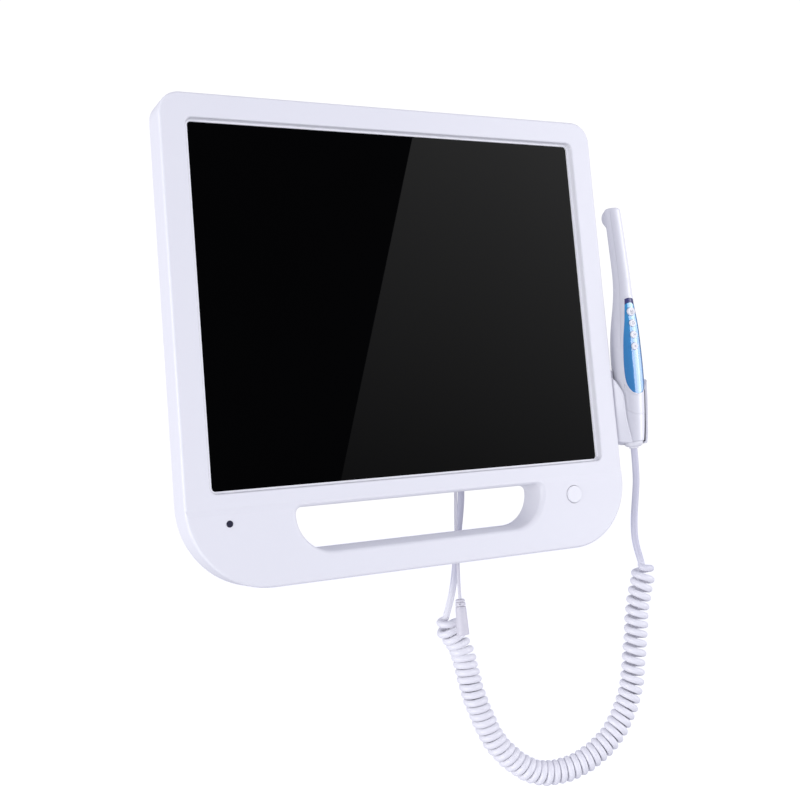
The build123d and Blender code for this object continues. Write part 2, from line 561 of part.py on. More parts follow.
inner_cut = (inner_loft & box(TAIL_X - 30, TAIL_X + 30, TAIL_Y - 40, TAIL_Y + 40, -121.0, HEAD_TOP - 1.8)) \
    + cyl_y(TAIL_X, HEAD_Z, 5.2, TAIL_Y + c_head, TAIL_Y + c_head + LENS_FACE - 1.2) \
    + cyl_y(TAIL_X, HEAD_Z, 3.4, TAIL_Y + c_head, TAIL_Y + c_head + LENS_FACE + 1.0)
hollow = outer_body - inner_cut - cyl_z(TAIL_X, TAIL_Y, 4.1, -130.0, -115.0)

# slanted joint of the tail cap: low at the front, high at the back
y_f = TAIL_Y - 1.5 - 12.3
TAIL_CUT = [(y_f - 6, -109.0), (y_f + 36, -67.0)]


def below(gap):
    return prism_x([(TAIL_CUT[0][0], TAIL_CUT[0][1] - gap), (TAIL_CUT[1][0], TAIL_CUT[1][1] - gap),
                    (TAIL_CUT[1][0], -140.0), (TAIL_CUT[0][0], -140.0)], TAIL_X - 30, TAIL_X + 30)


def above(gap):
    return prism_x([(TAIL_CUT[0][0], TAIL_CUT[0][1] + gap), (TAIL_CUT[1][0], TAIL_CUT[1][1] + gap),
                    (TAIL_CUT[1][0], 120.0), (TAIL_CUT[0][0], 120.0)], TAIL_X - 30, TAIL_X + 30)


tail_cap = hollow & below(0.12)
shells = hollow & above(0.12)
tail_cap = max(tail_cap.solids(), key=lambda s: s.volume)
shells = max(shells.solids(), key=lambda s: s.volume)

cosl = math.cos(math.radians(LID_ANGLE))
lid_line = [(TAIL_Y + c - cosl * r, z) for z, c, r in SECTIONS]
lid_line = [(lid_line[0][0], -140.0)] + lid_line[:-1] + [(lid_line[-2][0] + 0.4, HEAD_TOP - 3.8)]


def lid_region(shift, y_far):
    pts = [(y + shift, z) for y, z in lid_line]
    return prism_x(pts + [(y_far, HEAD_TOP - 3.8), (y_far, -140.0)], TAIL_X - 30, TAIL_X + 30)


lid = shells & lid_region(-0.1, TAIL_Y - 60)
rear = shells - lid_region(0.1, TAIL_Y - 60)
lid = max(lid.solids(), key=lambda s: s.volume)
rear = max(rear.solids(), key=lambda s: s.volume)

# blue control panel let into the front shell, with a bead round it
hw = [(4.6, -0.9), (5.0, -5.0), (5.9, -12.0), (7.3, -22.0), (8.8, -33.0), (9.8, -45.0), (10.4, -58.0),
      (10.3, -68.0), (9.0, -76.5), (5.6, -82.3)]


def panel_face(g):
    l = [(TAIL_X - x - g, z) for x, z in hw]
    r = [(TAIL_X + x + g, z) for x, z in hw]
    top = ThreePointArc(r[0], (TAIL_X, PANEL_TOP + g), l[0])
    bot = ThreePointArc(l[-1], (TAIL_X, PANEL_BOT - g), r[-1])
    return make_face([Spline(*l), bot, Spline(*r[::-1]), top])


front_side = box(TAIL_X - 30, TAIL_X + 30, TAIL_Y - 40, TAIL_Y - 2.0, -100.0, 20.0)
skin = (body_loft(0.0) - body_loft(-1.1)) & front_side
panel_all = slab(panel_face(-0.1), TAIL_Y - 40, TAIL_Y - 1.0) & skin
panel_all = max(panel_all.solids(), key=lambda s: s.volume)
recess = slab(panel_face(0.0), TAIL_Y - 40, TAIL_Y - 1.0) & ((body_loft(0.8) - body_loft(-1.15)) & front_side)
bead = (slab(panel_face(1.35), TAIL_Y - 40, TAIL_Y - 1.0) - slab(panel_face(0.0), TAIL_Y - 40, TAIL_Y - 1.0)) \
    & ((body_loft(0.45) - body_loft(-0.4)) & front_side)
bead = max(bead.solids(), key=lambda s: s.volume)
lid = lid - recess
rear = max((rear - recess).solids(), key=lambda s: s.volume)
lid = lid + (bead & lid_region(-0.1, TAIL_Y - 60))
def arch(gap):
    """Everything above the arched joint of the indicator window."""
    zc = WINDOW_BOT - WINDOW_ARCH + gap
    w = WINDOW_ARCH * math.sin(math.radians(70.0))
    zs = zc + WINDOW_ARCH * math.cos(math.radians(70.0))
    f = make_face([ThreePointArc((TAIL_X - w, zs), (TAIL_X, zc + WINDOW_ARCH), (TAIL_X + w, zs)),
                   Line((TAIL_X + w, zs), (TAIL_X + 14, zs)), Line((TAIL_X + 14, zs), (TAIL_X + 14, 10.0)),
                   Line((TAIL_X + 14, 10.0), (TAIL_X - 14, 10.0)), Line((TAIL_X - 14, 10.0), (TAIL_X - 14, zs)),
                   Line((TAIL_X - 14, zs), (TAIL_X - w, zs))])
    return slab(f, TAIL_Y - 40, TAIL_Y)


window = panel_all & arch(0.05)
panel = panel_all - arch(-0.05)

hp_buttons = []
switches = []
BOARD_Y0 = TAIL_Y - 5.4
for i, (z, r) in enumerate(HP_BUTTONS):
    c, R = sec_at(z)
    y_face = TAIL_Y + c - R - HP_PROUD
    y_in = TAIL_Y + c - R + 2.2
    panel = panel - cyl_y(TAIL_X, z, r + 0.2, y_face - 3, TAIL_Y)
    lid = lid - cyl_y(TAIL_X, z, r + 0.2, y_face - 3, TAIL_Y - 2)
    b = cyl_y(TAIL_X, z, r, y_face, y_in)
    b = fillet([e for e in b.edges() if e.center().Y < y_face + 0.1], 0.45)
    b = b + cyl_y(TAIL_X, z, 0.9, y_in - 0.2, BOARD_Y0 - 2.6)
    hp_buttons.append(b.solids()[0])
    switches.append(box(TAIL_X - 2.0, TAIL_X + 2.0, BOARD_Y0 - 1.9, BOARD_Y0 - 0.02, z - 2.0, z + 2.0))
panel = max(panel.solids(), key=lambda s: s.volume)
window = max(window.solids(), key=lambda s: s.volume)
lid = max(lid.solids(), key=lambda s: s.volume)
save(lid, "handpiece_front_shell")
save(rear, "handpiece_rear_shell")
save(tail_cap, "tail_cap")
save(panel, "control_panel")
save(window, "indicator_window")
for i, b in enumerate(hp_buttons):
    save(b, "handpiece_button_%d" % (i + 1))
save(switches, "tact_switches")

# inside the handpiece
pcb = box(TAIL_X - 4.4, TAIL_X + 4.4, BOARD_Y0, BOARD_Y0 + 1.0, -78.0, 6.0)
save(pcb, "handpiece_board")
head_y = TAIL_Y + c_head
save(cyl_y(TAIL_X, HEAD_Z, 3.3, head_y + 2.6, head_y + LENS_FACE - 1.35)
     - cyl_y(TAIL_X, HEAD_Z, 1.6, head_y + 5.0, head_y + LENS_FACE + 1), "lens_barrel")
save(cyl_y(TAIL_X, HEAD_Z, 1.55, head_y + 5.2, head_y + 6.6), "objective_lens")
save(cyl_y(TAIL_X, HEAD_Z, 3.3, head_y + LENS_FACE - 1.3, head_y + LENS_FACE - 0.2), "lens_window")
save(box(TAIL_X - 3.6, TAIL_X + 3.6, head_y + 0.6, head_y + 2.5, HEAD_Z - 4.0, HEAD_Z + 4.0), "sensor_module")
led_pcb = cyl_y(TAIL_X, HEAD_Z, 5.0, head_y + 4.6, head_y + 5.4) - cyl_y(TAIL_X, HEAD_Z, 3.4, head_y + 4, head_y + 6)
save(led_pcb, "led_ring_board")
leds = []
for k in range(6):
    a = math.radians(60 * k + 30)
    x, z = TAIL_X + 4.2 * math.cos(a), HEAD_Z + 4.2 * math.sin(a)
    leds.append(cyl_y(x, z, 0.72, head_y + 5.42, head_y + LENS_FACE - 1.25))
save(leds, "head_leds")
lens_bezel = cyl_y(TAIL_X, HEAD_Z, 4.8, head_y + LENS_FACE, head_y + LENS_FACE + 0.35) \
    - cyl_y(TAIL_X, HEAD_Z, 3.5, head_y + LENS_FACE - 1, head_y + LENS_FACE + 1)
save(lens_bezel, "lens_bezel")
flex = box(TAIL_X - 2.5, TAIL_X + 2.5, head_y - 0.2 - 0.6, head_y - 0.2, 8.0, 70.0)
save(flex, "head_flex_cable")
clamp = box(TAIL_X - 5.0, TAIL_X + 5.0, TAIL_Y - 3.6, TAIL_Y + 3.6, -108.0, -102.0) - cyl_z(TAIL_X, TAIL_Y, 2.95, -110, -100)
save(clamp, "cord_clamp")
relief = cyl_z(TAIL_X, TAIL_Y, 4.0, -131.0, -113.0) + cyl_z(TAIL_X, TAIL_Y, 5.6, -120.9, -118.6)
nose = cyl_z(TAIL_X, TAIL_Y, 8.2, -129.6, -125.05)
nose = fillet([e for e in nose.edges() if e.center().Z < -129.5], 3.6)
relief = relief + nose
relief = relief - cyl_z(TAIL_X, TAIL_Y, CORD_D / 2 + 0.03, -132.0, -127.0)
save(relief.solids()[0], "cord_strain_relief")

# ------------------------------------------------------------------- glands
def gland(x, y, r_cord, r, name):
    g = cyl_z(x, y, r, -136.0, -124.0) + cyl_z(x, y, r + 1.4, -124.0 - 2.5, -124.0) \
        + cyl_z(x, y, r + 1.2, -136.2, -134.2)
    g = g + Pos(x, y, -138.6) * Cone(r_cord + 0.5, r, 4.9)
    return g.solids()[0]


save(gland(GLAND[0], GLAND[1], CORD_D / 2, 4.5, "g"), "handpiece_cord_gland")
save(gland(DC_GLAND[0], DC_GLAND[1], DC_D / 2, 3.0, "d"), "power_lead_gland")

# -------------------------------------------------------------------- cords
# the coil's end faces lie on the runs to the neighbouring route points
def between(p, q, k):
    return tuple(a + k * (b - a) for a, b in zip(p, q))


j1 = between(LEAD[-1], COIL[0], JOIN)
j2 = between(TAIL[0], COIL[-1], 1.0 - JOIN)
lead_tube = cord_tube(LEAD + [j1], CORD_D, "cord lead")
coil_tube = cord_tube([j1] + COIL + [j2], COIL_OD, "cord coil")
tail_tube = cord_tube([j2] + TAIL, CORD_D, "cord tail")
dc_tube = cord_tube(DC_ROUTE, DC_D, "power lead")
save(lead_tube.solids()[0], "curly_cord_lead")
save(coil_tube.solids()[0], "curly_cord_coil")
save(tail_tube.solids()[0], "curly_cord_tail")
save(dc_tube.solids()[0], "power_lead")

# inline power socket on the short lead
dc_boot = Pos(DC_X, DC_Y, DC_TOP - 3.8) * Cone(4.4, 3.8, 7.6)
dc_boot = fillet([e for e in dc_boot.edges() if e.center().Z > DC_TOP - 0.1], 1.3)
for z in (1.7, 5.2):
    dc_boot = dc_boot - (cyl_z(DC_X, DC_Y, 6.0, DC_TOP - z - 1.0, DC_TOP - z)
                         - cyl_z(DC_X, DC_Y, 2.7, DC_TOP - z - 1.1, DC_TOP - z + 0.1))
# relief holes between the two grooves
for a in (-35.0, 55.0, 145.0, 235.0):
    d = Vector(math.sin(math.radians(a)), -math.cos(math.radians(a)), 0)
    dc_boot = dc_boot - Plane(origin=(DC_X + 4.6 * d.X, DC_Y + 4.6 * d.Y, DC_TOP - 3.7), z_dir=(-d.X, -d.Y, 0)) \
        * Pos(0, 0, 0.6) * Cylinder(0.55, 2.4)
save(dc_boot.solids()[0], "power_socket_boot")
DC_LEN = 21.2
DC_END = DC_TOP - 7.65 - DC_LEN
dc_body = Pos(DC_X, DC_Y, DC_END + DC_LEN / 2) * Cone(5.2, 4.45, DC_LEN)
dc_body = fillet([e for e in dc_body.edges() if e.center().Z < DC_END + 0.1], 0.4)
dc_body = dc_body - cyl_z(DC_X, DC_Y, 3.2, DC_END - 5, DC_END + 10.5)
save(dc_body, "power_socket_body")
dc_sleeve = cyl_z(DC_X, DC_Y, 3.15, DC_END + 0.1, DC_END + 10.4) \
    - cyl_z(DC_X, DC_Y, 2.75, DC_END - 5, DC_END + 9.4)
save(dc_sleeve, "power_socket_sleeve")
save(cyl_z(DC_X, DC_Y, 1.0, DC_END + 1.5, DC_END + 9.38), "power_socket_pin")
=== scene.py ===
import math

import bmesh
import bpy
import numpy as np
from mathutils import Matrix, Vector


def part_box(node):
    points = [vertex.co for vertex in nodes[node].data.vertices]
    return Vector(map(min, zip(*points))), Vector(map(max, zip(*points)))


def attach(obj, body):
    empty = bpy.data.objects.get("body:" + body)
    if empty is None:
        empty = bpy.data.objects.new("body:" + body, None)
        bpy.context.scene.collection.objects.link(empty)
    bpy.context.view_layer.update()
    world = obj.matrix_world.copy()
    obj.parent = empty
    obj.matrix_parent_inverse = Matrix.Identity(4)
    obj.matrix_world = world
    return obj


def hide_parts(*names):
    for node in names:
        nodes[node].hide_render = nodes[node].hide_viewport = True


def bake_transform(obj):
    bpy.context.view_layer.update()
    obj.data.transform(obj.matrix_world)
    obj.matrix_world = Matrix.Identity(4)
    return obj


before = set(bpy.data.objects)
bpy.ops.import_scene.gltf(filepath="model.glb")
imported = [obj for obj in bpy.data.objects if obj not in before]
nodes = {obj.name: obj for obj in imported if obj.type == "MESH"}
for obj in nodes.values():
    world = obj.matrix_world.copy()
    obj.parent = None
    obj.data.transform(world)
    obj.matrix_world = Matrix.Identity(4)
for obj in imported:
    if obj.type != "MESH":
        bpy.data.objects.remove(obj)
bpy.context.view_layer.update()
scene = bpy.context.scene

MM = 0.001


# ---------------------------------------------------------------- the camera
def make_camera():
    data = bpy.data.cameras.new("camera")
    cam = bpy.data.objects.new("camera", data)
    scene.collection.objects.link(cam)
    right = Vector((0.88794502, -0.45238944, -0.08305077))
    up = Vector((0.03341896, -0.11663192, 0.9926128))
    back = Vector((-0.45873392, -0.88416106, -0.08844435))
    m = Matrix.Identity(4)
    for i in range(3):
        m[i][0], m[i][1], m[i][2] = right[i], up[i], back[i]
    m[0][3], m[1][3], m[2][3] = -0.417843, -0.839792, -0.130304
    cam.matrix_world = m
    data.sensor_fit = "HORIZONTAL"
    data.sensor_width = 36.0
    data.lens = 50.5146
    data.shift_x = 0.0
    data.shift_y = -0.04119
    data.clip_start, data.clip_end = 0.02, 60.0
    scene.camera = cam


make_camera()


# ------------------------------------------------------------- node materials
class Mat:
    """A small helper that lays out a Principled material's nodes."""

    def __init__(self, name):
        self.m = bpy.data.materials.new(name)
        self.m.use_nodes = True
        self.nt = self.m.node_tree
        self.nt.nodes.clear()
        self.out = self.nt.nodes.new("ShaderNodeOutputMaterial")
        self.bsdf = self.nt.nodes.new("ShaderNodeBsdfPrincipled")
        self.nt.links.new(self.bsdf.outputs[0], self.out.inputs[0])
        self.coord = self.nt.nodes.new("ShaderNodeTexCoord").outputs["Object"]

    def node(self, kind, **inputs):
        n = self.nt.nodes.new(kind)
        for k, v in inputs.items():
            self.put(n, k, v)
        return n

    def put(self, n, key, value):
        socket = n.inputs[key] if not isinstance(key, int) else n.inputs[key]
        if isinstance(value, bpy.types.NodeSocket):
            self.nt.links.new(value, socket)
        else:
            socket.default_value = value

    def set(self, **values):
        for k, v in values.items():
            self.put(self.bsdf, k.replace("_", " "), v)

    def noise(self, scale, detail=3.0, rough=0.5, vector=None, distortion=0.0):
        n = self.nt.nodes.new("ShaderNodeTexNoise")
        self.put(n, "Vector", vector or self.coord)
        n.inputs["Scale"].default_value = scale
        n.inputs["Detail"].default_value = detail
        n.inputs["Roughness"].default_value = rough
        n.inputs["Distortion"].default_value = distortion
        return n.outputs["Fac"]

    def voronoi(self, scale, vector=None, feature="F1"):
        n = self.nt.nodes.new("ShaderNodeTexVoronoi")
        n.feature = feature
        self.put(n, "Vector", vector or self.coord)
        n.inputs["Scale"].default_value = scale
        return n.outputs["Distance"]

    def ramp(self, value, stops):
        n = self.nt.nodes.new("ShaderNodeValToRGB")
        self.nt.links.new(value, n.inputs[0])
        e = n.color_ramp.elements
        while len(e) < len(stops):
            e.new(0.5)
        for el, (p, c) in zip(e, stops):
            el.position = p
            el.color = (*c[:3], 1.0) if len(c) >= 3 else (c[0], c[0], c[0], 1.0)
        return n.outputs[0]

    def span(self, value, lo, hi, a=0.0, b=1.0):
        n = self.nt.nodes.new("ShaderNodeMapRange")
        self.nt.links.new(value, n.inputs["Value"])
        n.inputs["From Min"].default_value = lo
        n.inputs["From Max"].default_value = hi
        n.inputs["To Min"].default_value = a
        n.inputs["To Max"].default_value = b
        return n.outputs[0]

    def math(self, op, a, b=0.0, c=None):
        n = self.nt.nodes.new("ShaderNodeMath")
        n.operation = op
        self.put(n, 0, a)
        self.put(n, 1, b)
        if c is not None:
            self.put(n, 2, c)
        return n.outputs[0]

    def xyz(self, vector=None):
        n = self.nt.nodes.new("ShaderNodeSeparateXYZ")
        self.nt.links.new(vector or self.coord, n.inputs[0])
        return n.outputs

    def mix(self, fac, a, b, mode="MIX"):
        n = self.nt.nodes.new("ShaderNodeMix")
        n.data_type = "RGBA"
        n.blend_type = mode
        for i, v in ((0, fac), (6, a), (7, b)):
            if isinstance(v, bpy.types.NodeSocket):
                self.nt.links.new(v, n.inputs[i])
            elif i == 0:
                n.inputs[0].default_value = v
            else:
                n.inputs[i].default_value = (*v[:3], 1.0)
        return n.outputs[2]

    def bump(self, height, distance, strength=1.0):
        n = self.nt.nodes.new("ShaderNodeBump")
        self.nt.links.new(height, n.inputs["Height"])
        n.inputs["Distance"].default_value = distance
        n.inputs["Strength"].default_value = strength
        self.nt.links.new(n.outputs[0], self.bsdf.inputs["Normal"])
        return n


def shade(c, k):
    return tuple(max(0.0, min(1.0, x * k)) for x in c)


def moulded(name, color, rough=0.38, grain=2200.0, depth=0.00002, coat=0.0, cloud=0.985, ior=1.46):
    """Moulded plastic: faint flow clouds in the colour, fine spark-eroded grain."""
    m = Mat(name)
    big = m.noise(9.0, 4.0, 0.55)
    small = m.noise(140.0, 3.0, 0.6)
    base = m.mix(m.span(big, 0.3, 0.7), shade(color, cloud), color)
    base = m.mix(m.span(small, 0.25, 0.75, 0.0, 0.35), base, shade(color, 0.975))
    m.set(Base_Color=base, IOR=ior)
    grainy = m.noise(grain, 2.0, 0.6)
    m.set(Roughness=m.math("ADD", m.span(small, 0.2, 0.8, rough - 0.04, rough + 0.05), m.span(grainy, 0.2, 0.8, -0.02, 0.02)))
    if coat:
        m.bsdf.inputs["Coat Weight"].default_value = coat
        m.bsdf.inputs["Coat Roughness"].default_value = 0.06
    m.bump(grainy, depth, 0.5)
    return m.m


def metal(name, color, rough=0.3, brush=(1.0, 1.0, 60.0), grain=900.0):
    m = Mat(name)
    mp = m.nt.nodes.new("ShaderNodeMapping")
    m.nt.links.new(m.coord, mp.inputs[0])
    mp.inputs["Scale"].default_value = brush
    lines = m.noise(grain, 2.0, 0.6, vector=mp.outputs[0])
    smut = m.noise(60.0, 4.0, 0.6)
    m.set(Base_Color=m.mix(m.span(smut, 0.3, 0.7), shade(color, 0.9), color))
    m.bsdf.inputs["Metallic"].default_value = 1.0
    m.set(Roughness=m.span(lines, 0.2, 0.8, rough - 0.06, rough + 0.08))
    m.bump(lines, 0.00001, 0.4)
    return m.m


def board(name, mask=(0.012, 0.13, 0.06)):
    """Circuit board: solder mask over a maze of copper traces."""
    m = Mat(name)
    mp = m.nt.nodes.new("ShaderNodeMapping")
    m.nt.links.new(m.coord, mp.inputs[0])
    mp.inputs["Scale"].default_value = (1.0, 0.02, 1.0)
    n = m.nt.nodes.new("ShaderNodeTexVoronoi")
    n.distance = "MANHATTAN"
    n.feature = "F1"
    m.nt.links.new(mp.outputs[0], n.inputs["Vector"])
    n.inputs["Scale"].default_value = 420.0
    cells = n.outputs["Distance"]
    traces = m.math("PINGPONG", cells, 0.16)
    mask_lines = m.span(traces, 0.06, 0.1)
    m.set(Base_Color=m.mix(mask_lines, mask, shade(mask, 1.9)))
    m.set(Roughness=m.span(m.noise(300.0), 0.3, 0.7, 0.22, 0.34))
    m.bump(mask_lines, 0.00003, 0.5)
    return m.m


def jacket(name, color, rough=0.36, painted_shade_tint=None):
    """Extruded cord jacket: long drawn streaks and a slight orange peel."""
    m = Mat(name)
    cloud = m.noise(35.0, 3.0, 0.5)
    peel = m.noise(1500.0, 2.0, 0.5)
    base = m.mix(m.span(cloud, 0.3, 0.7), shade(color, 0.975), color)
    if painted_shade_tint:
        # painted shade: the straight ends, higher up under the monitor, are painted a darker, bluer grey than the
        # coil
        painted_shade_mask = m.span(m.xyz()[2], -0.243, -0.222)
        base = m.mix(painted_shade_mask, base, painted_shade_tint)
    m.set(Base_Color=base)
    m.set(Roughness=m.span(peel, 0.2, 0.8, rough - 0.05, rough + 0.06))
    m.bsdf.inputs["IOR"].default_value = 1.48
    m.bsdf.inputs["Subsurface Weight"].default_value = 0.0
    m.bump(peel, 0.00002, 0.5)
    return m.m


def soft_glass(name, color, rough=0.03):
    m = Mat(name)
    smear = m.noise(24.0, 4.0, 0.6)
    m.set(Base_Color=m.mix(m.span(smear, 0.3, 0.7), color, shade(color, 1.1)))
    m.set(Roughness=m.span(smear, 0.3, 0.7, rough, rough + 0.02))
    m.bsdf.inputs["IOR"].default_value = 1.5
    return m.m


WHITE = (0.80, 0.80, 0.825)

bezel_m = moulded("bezel_plastic", WHITE, 0.36)
cover_m = moulded("cover_plastic", WHITE, 0.42, grain=1500.0, depth=0.00004)
# the gasket foam is painted whiter than the housing: a painted highlight for the bright line round the screen
gasket_highlight_m = moulded("gasket_foam", (0.94, 0.94, 0.95), 0.6, grain=1300.0, depth=0.00003)
holder_m = moulded("holder_plastic", (0.735, 0.735, 0.77), 0.34)
hand_m = moulded("handpiece_plastic", (0.80, 0.80, 0.83), 0.24, grain=3000.0, depth=0.000006, coat=0.25)
button_m = moulded("button_plastic", (0.84, 0.84, 0.86), 0.3)
gland_m = moulded("gland_rubber", (0.80, 0.80, 0.82), 0.5)
socket_m = moulded("socket_plastic", (0.66, 0.645, 0.69), 0.42)
# a near-black lining in the holder: a painted shadow for the deep shade in the gap between handpiece and holder wing
shadow_lining_m = moulded("lining_rubber", (0.014, 0.007, 0.018), 0.6, grain=1500.0)
black_m = moulded("black_plastic", (0.012, 0.012, 0.014), 0.4)
chip_m = moulded("chip_plastic", (0.015, 0.015, 0.017), 0.45, grain=1200.0)
screw_m = metal("screw_steel", (0.42, 0.43, 0.45), 0.32)
sheet_m = metal("sheet_steel", (0.60, 0.61, 0.63), 0.34, brush=(1.0, 60.0, 1.0))
alu_m = metal("heatsink_aluminium", (0.66, 0.67, 0.69), 0.36)
brass_m = metal("brass_insert", (0.74, 0.55, 0.24), 0.28)
contact_m = metal("contact_metal", (0.72, 0.72, 0.72), 0.16)
pcb_m = board("circuit_board")
# the cord's straight ends take a painted shade colour, darker and bluer than the coil
cord_m = jacket("cord_jacket", (0.83, 0.825, 0.86), painted_shade_tint=(0.60, 0.60, 0.685))
lead_m = jacket("lead_jacket", (0.70, 0.69, 0.74))
lens_m = soft_glass("lens_glass", (0.03, 0.04, 0.06))
ir_m = soft_glass("ir_window_plastic", (0.012, 0.012, 0.03), 0.08)
indicator_m = soft_glass("indicator_plastic", (0.045, 0.045, 0.16), 0.06)
flex_m = moulded("flex_film", (0.45, 0.22, 0.05), 0.3)


def screen_material():
    """Black cover glass: a deep tinted base under a smooth reflecting face."""
    m = Mat("screen_glass")
    haze = m.noise(6.0, 5.0, 0.6)
    m.set(Base_Color=m.mix(m.span(haze, 0.3, 0.7), (0.0, 0.0, 0.0), (0.0003, 0.0003, 0.0004)))
    m.set(Roughness=m.span(haze, 0.3, 0.7, 0.008, 0.014))
    m.bsdf.inputs["IOR"].default_value = 1.10
    return m.m


screen_m = screen_material()


def panel_material():
    """Blue control panel film, lighter towards the top as a painted highlight."""
    m = Mat("control_panel_film")
    z = m.xyz()[2]
    # painted highlight: the blue is ramped lighter from the lower end up to the top
    painted_highlight_rise = m.span(z, -0.084, 0.0)
    base = m.ramp(painted_highlight_rise, [(0.0, (0.006, 0.20, 0.50)), (0.55, (0.006, 0.225, 0.53)), (1.0, (0.01, 0.30, 0.60))])
    fleck = m.noise(900.0, 2.0, 0.6)
    base = m.mix(m.span(fleck, 0.3, 0.7, 0.0, 0.06), base, (0.12, 0.42, 0.75))
    m.set(Base_Color=base)
    m.set(Roughness=m.span(fleck, 0.2, 0.8, 0.12, 0.17))
    m.bsdf.inputs["Coat Weight"].default_value = 1.0
    m.bsdf.inputs["Coat Roughness"].default_value = 0.04
    m.bump(fleck, 0.000004, 0.3)
    return m.m


panel_m = panel_material()


def led_material():
    m = Mat("led_yellow")
    m.set(Base_Color=m.mix(m.span(m.noise(2500.0), 0.3, 0.7), (0.80, 0.66, 0.16), (0.88, 0.78, 0.3)))
    m.set(Roughness=m.span(m.noise(500.0), 0.3, 0.7, 0.3, 0.4))
    m.bsdf.inputs["Emission Color"].default_value = (1.0, 0.95, 0.75, 1.0)
    m.bsdf.inputs["Emission Strength"].default_value = 0.05
    return m.m


led_m = led_material()

FINISH = {
    "front_bezel": bezel_m, "screen_gasket": gasket_highlight_m, "screen_glass": screen_m, "lcd_cell": black_m,
    "backlight_unit": sheet_m, "panel_bracket": sheet_m, "rear_cover": cover_m, "vesa_inserts": brass_m,
    "casing_screws": screw_m, "main_board": pcb_m, "board_components": chip_m, "chip_heatsink": alu_m,
    "board_standoffs": brass_m, "power_board": pcb_m, "power_board_components": chip_m,
    "power_board_standoffs": brass_m, "power_button": button_m, "button_board": pcb_m,
    "power_switch": contact_m, "button_board_posts": brass_m, "ir_window": ir_m, "ir_receiver": chip_m,
    "ir_board": pcb_m, "handpiece_holder": holder_m, "holder_lining": shadow_lining_m, "holder_screws": screw_m,
    "handpiece_cord_gland": gland_m, "power_lead_gland": gland_m, "power_socket_boot": socket_m,
    "power_socket_body": socket_m, "power_socket_sleeve": contact_m, "power_socket_pin": contact_m,
    "handpiece_front_shell": hand_m, "handpiece_rear_shell": hand_m, "tail_cap": hand_m,
    "control_panel": panel_m, "indicator_window": indicator_m, "tact_switches": contact_m,
    "handpiece_board": pcb_m, "lens_barrel": black_m, "objective_lens": lens_m, "lens_window": lens_m,
    "sensor_module": chip_m, "led_ring_board": pcb_m, "head_leds": led_m, "lens_bezel": black_m,
    "head_flex_cable": flex_m, "cord_clamp": contact_m, "cord_strain_relief": gland_m,
    "handpiece_button_1": button_m, "handpiece_button_2": button_m,
    "handpiece_button_3": button_m, "handpiece_button_4": button_m,
    "curly_cord_lead": cord_m, "curly_cord_coil": cord_m, "curly_cord_tail": cord_m, "power_lead": lead_m,
}
for name, o in nodes.items():
    o.data.materials.clear()
    o.data.materials.append(FINISH[name])


# ------------------------------------------------------------------ the cords
def spline_points(route, resolution=24):
    """Points along the smooth NURBS line whose control points are the route."""
    cu = bpy.data.curves.new("route", "CURVE")
    cu.dimensions = "3D"
    cu.resolution_u = resolution
    s = cu.splines.new("NURBS")
    s.points.add(len(route) - 1)
    for p, q in zip(s.points, route):
        p.co = (q[0], q[1], q[2], 1.0)
    s.order_u = 3
    s.use_endpoint_u = True
    o = bpy.data.objects.new("route", cu)
    scene.collection.objects.link(o)
    bpy.context.view_layer.update()
    me = bpy.data.meshes.new_from_object(o)
    pts = np.array([v.co for v in me.vertices], float)
    bpy.data.meshes.remove(me)
    bpy.data.objects.remove(o)
    bpy.data.curves.remove(cu)
    return pts


def resample(pts, step):
    seg = np.linalg.norm(np.diff(pts, axis=0), axis=1)
    keep = np.concatenate(([True], seg > 1e-9))
    pts = pts[keep]
    s = np.concatenate(([0.0], np.cumsum(np.linalg.norm(np.diff(pts, axis=0), axis=1))))
    n = max(2, int(round(s[-1] / step)))
    t = np.linspace(0.0, s[-1], n + 1)
    return np.stack([np.interp(t, s, pts[:, i]) for i in range(3)], 1), t


def frames(pts):
    """Tangents, and normals carried along the line without twist."""
    d = np.gradient(pts, axis=0)
    t = d / np.linalg.norm(d, axis=1)[:, None]
    ref = np.array([0.0, -1.0, 0.0])
    n = np.zeros_like(pts)
    first = ref - t[0] * (ref @ t[0])
    n[0] = first / np.linalg.norm(first)
    for i in range(1, len(pts)):
        v = n[i - 1] - t[i] * (n[i - 1] @ t[i])
        n[i] = v / np.linalg.norm(v)
    return t, n, np.cross(t, n)


def tube(name, path, radius, sides=14):
    """Closed mesh tube along a path, with domed ends."""
    t, n, b = frames(path)
    bm = bmesh.new()
    rings = []
    a = np.linspace(0.0, 2.0 * math.pi, sides, endpoint=False)
    for p, nn, bb in zip(path, n, b):
        ring = [bm.verts.new(p + radius * (math.cos(x) * nn + math.sin(x) * bb)) for x in a]
        rings.append(ring)
    for r0, r1 in zip(rings, rings[1:]):
        for i in range(sides):
            j = (i + 1) % sides
            bm.faces.new((r0[i], r0[j], r1[j], r1[i]))
    for ring, p, flip in ((rings[0], path[0] - t[0] * radius * 0.2, True), (rings[-1], path[-1] + t[-1] * radius * 0.2, False)):
        c = bm.verts.new(p)
        for i in range(sides):
            j = (i + 1) % sides
            bm.faces.new((ring[j], ring[i], c) if flip else (ring[i], ring[j], c))
    bmesh.ops.recalc_face_normals(bm, faces=bm.faces)
    me = bpy.data.meshes.new(name)
    bm.to_mesh(me)
    bm.free()
    for f in me.polygons:
        f.use_smooth = True
    o = bpy.data.objects.new(name, me)
    scene.collection.objects.link(o)
    return o


